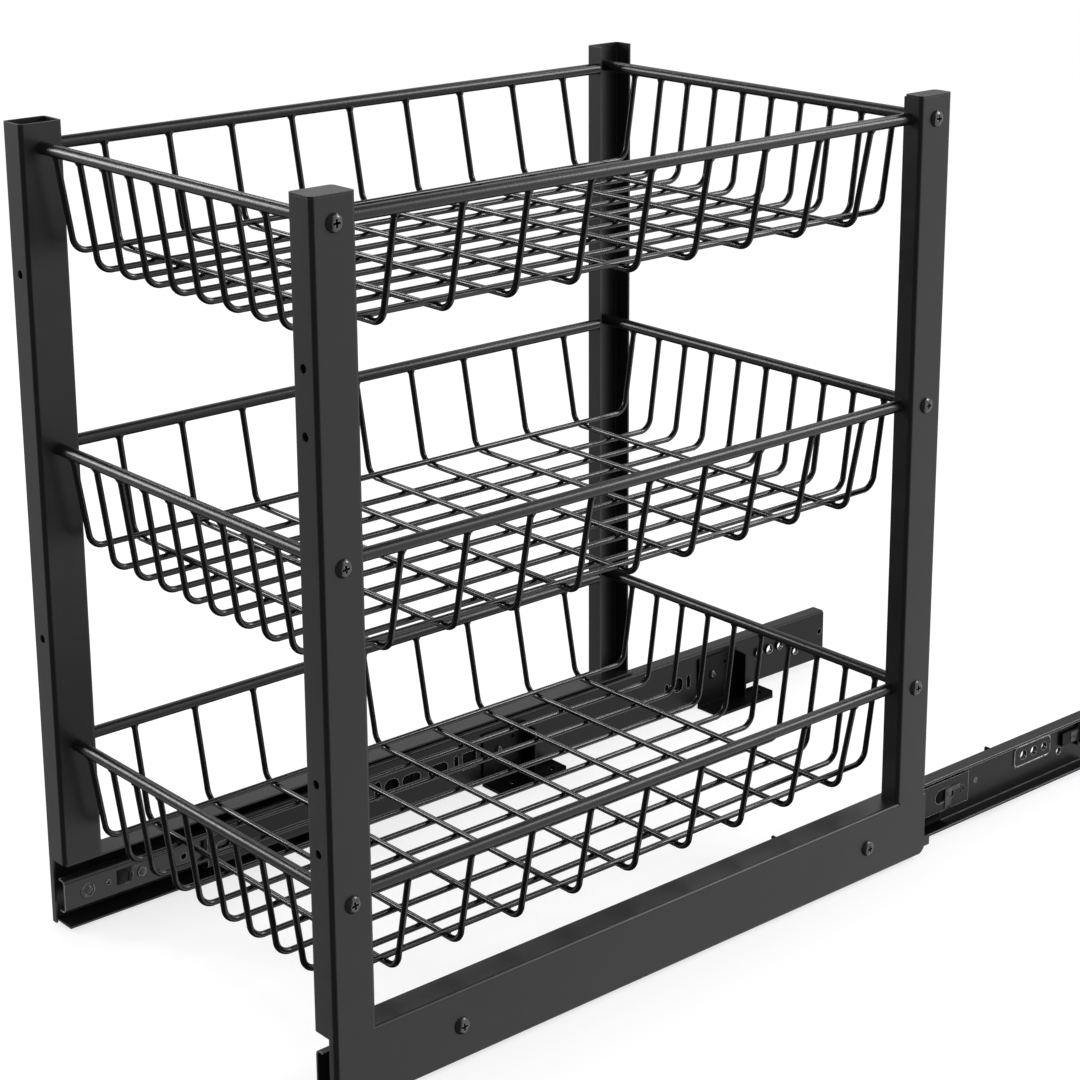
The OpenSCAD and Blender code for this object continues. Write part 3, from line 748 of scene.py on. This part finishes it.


# ---------- slide catches ----------
# The release lever is a black plastic block pressed into the opening near the front
# of the drawer member. At its rear end the intermediate member carries a sprung latch
# tab over a slot filled by a black sheet, which is painted shade, and a steel clip holds the rear stop's
# tongue.

lever_lip = [(0.0495, 0.006), (0.0525, 0.0045), (0.0535, 0.001), (0.0525, -0.003)]
pivot = [(0.0041, 0.0), (0.0041, -0.0002), (0.0037, -0.00055), (0.0028, -0.0008), (0.00001, -0.00088)]
tab_rivet = [(0.0019, 0.0), (0.0018, 0.0002), (0.0012, 0.00034), (0.00001, 0.00038)]
clip_rivet = [(0.0021, 0.0), (0.0019, 0.00012), (0.00001, 0.00022)]
lever_face, leaf_face, tab_face, clip_face = 0.00425, 0.00232, 0.00345, 0.00395
for side, tag in ((-1, "left"), (1, "right")):
    lever = Relief(side)
    lever.plate(lever_face, 0.00145, box_path(drawer_y + 0.0492, 0.0013, 0.0125, 0.0115, 0.0006, 2))
    lever.plate(0.0039, 0.0004, box_path(drawer_y + 0.0462, 0.0002, 0.0038, 0.0062, 0.0008, 3))
    lever.bead(lever_face, [(drawer_y + y, z) for y, z in lever_lip], 0.0006, -0.0005, False)
    lever.done(f"{tag}_release_lever", nylon.material, "basket_carriage")
    spring = Relief(side)
    spring.plate(0.0043, 0.0004, box_path(drawer_y + 0.0585, 0.0062, 0.0065, 0.0032, 0.0012, 3))
    spring.boss(0.0046, drawer_y + 0.064, 0.0, pivot)
    spring.done(f"{tag}_lever_spring", bead_coat.material, "basket_carriage")
    # A black sheet across the latch slot: painted shade where the slot shows dark.
    shade_sheet = Relief(side)
    shade_sheet.plate(leaf_face, 0.0005, box_path(middle_y + 0.48, 0.0, 0.0213, 0.0103, 0.00505), 0.0001)
    shade_sheet.done(f"{tag}_latch_shade_sheet", recess_shade.material, f"{tag}_middle")
    latch = Relief(side)
    latch.plate(tab_face, 0.0007, box_path(middle_y + 0.4835, -0.0035, 0.0075, 0.0175, 0.0016, 4))
    latch.plate(tab_face, 0.00065, box_path(middle_y + 0.4915, 0.0035, 0.0125, 0.0042, 0.0012, 3))
    latch.boss(0.0041, middle_y + 0.4835, -0.0005, tab_rivet)
    latch.bead(0.00348, ring_path(middle_y + 0.5, 0.0002, 0.0026, -110, 120, 16), 0.0006, 0.0006, False)
    latch.done(f"{tag}_latch_tab", bead_coat.material, f"{tag}_middle")
    clip = Relief(side)
    clip.plate(clip_face, 0.0004, box_path(cabinet_y + 0.528, 0.004, 0.0095, 0.0085, 0.0012, 3))
    clip.boss(0.0043, cabinet_y + 0.5265, 0.004, clip_rivet)
    clip.done(f"{tag}_stop_clip", bead_coat.material, "cabinet_slides")


# ---------- floor brackets ----------
# Bent from 2 mm sheet: an upright plate on the slide, a stiffening rib and a foot
# with screw holes. A thicker, flatter black coat than the slides have, painted darker
# still as painted shade from the basket above.

# Its own black coat, made darker as painted shade under the basket.
bracket_coat_and_shade = powder_coat("bracket_coat_and_shade", 0.003, 0.38, 1.6, 0.14)
brackets = [f"{side}_{end}_bracket" for side in ("left", "right") for end in ("front", "rear")]
dress(bracket_coat_and_shade, *brackets)
for name in brackets:
    ease(nodes[name], 0.0003)
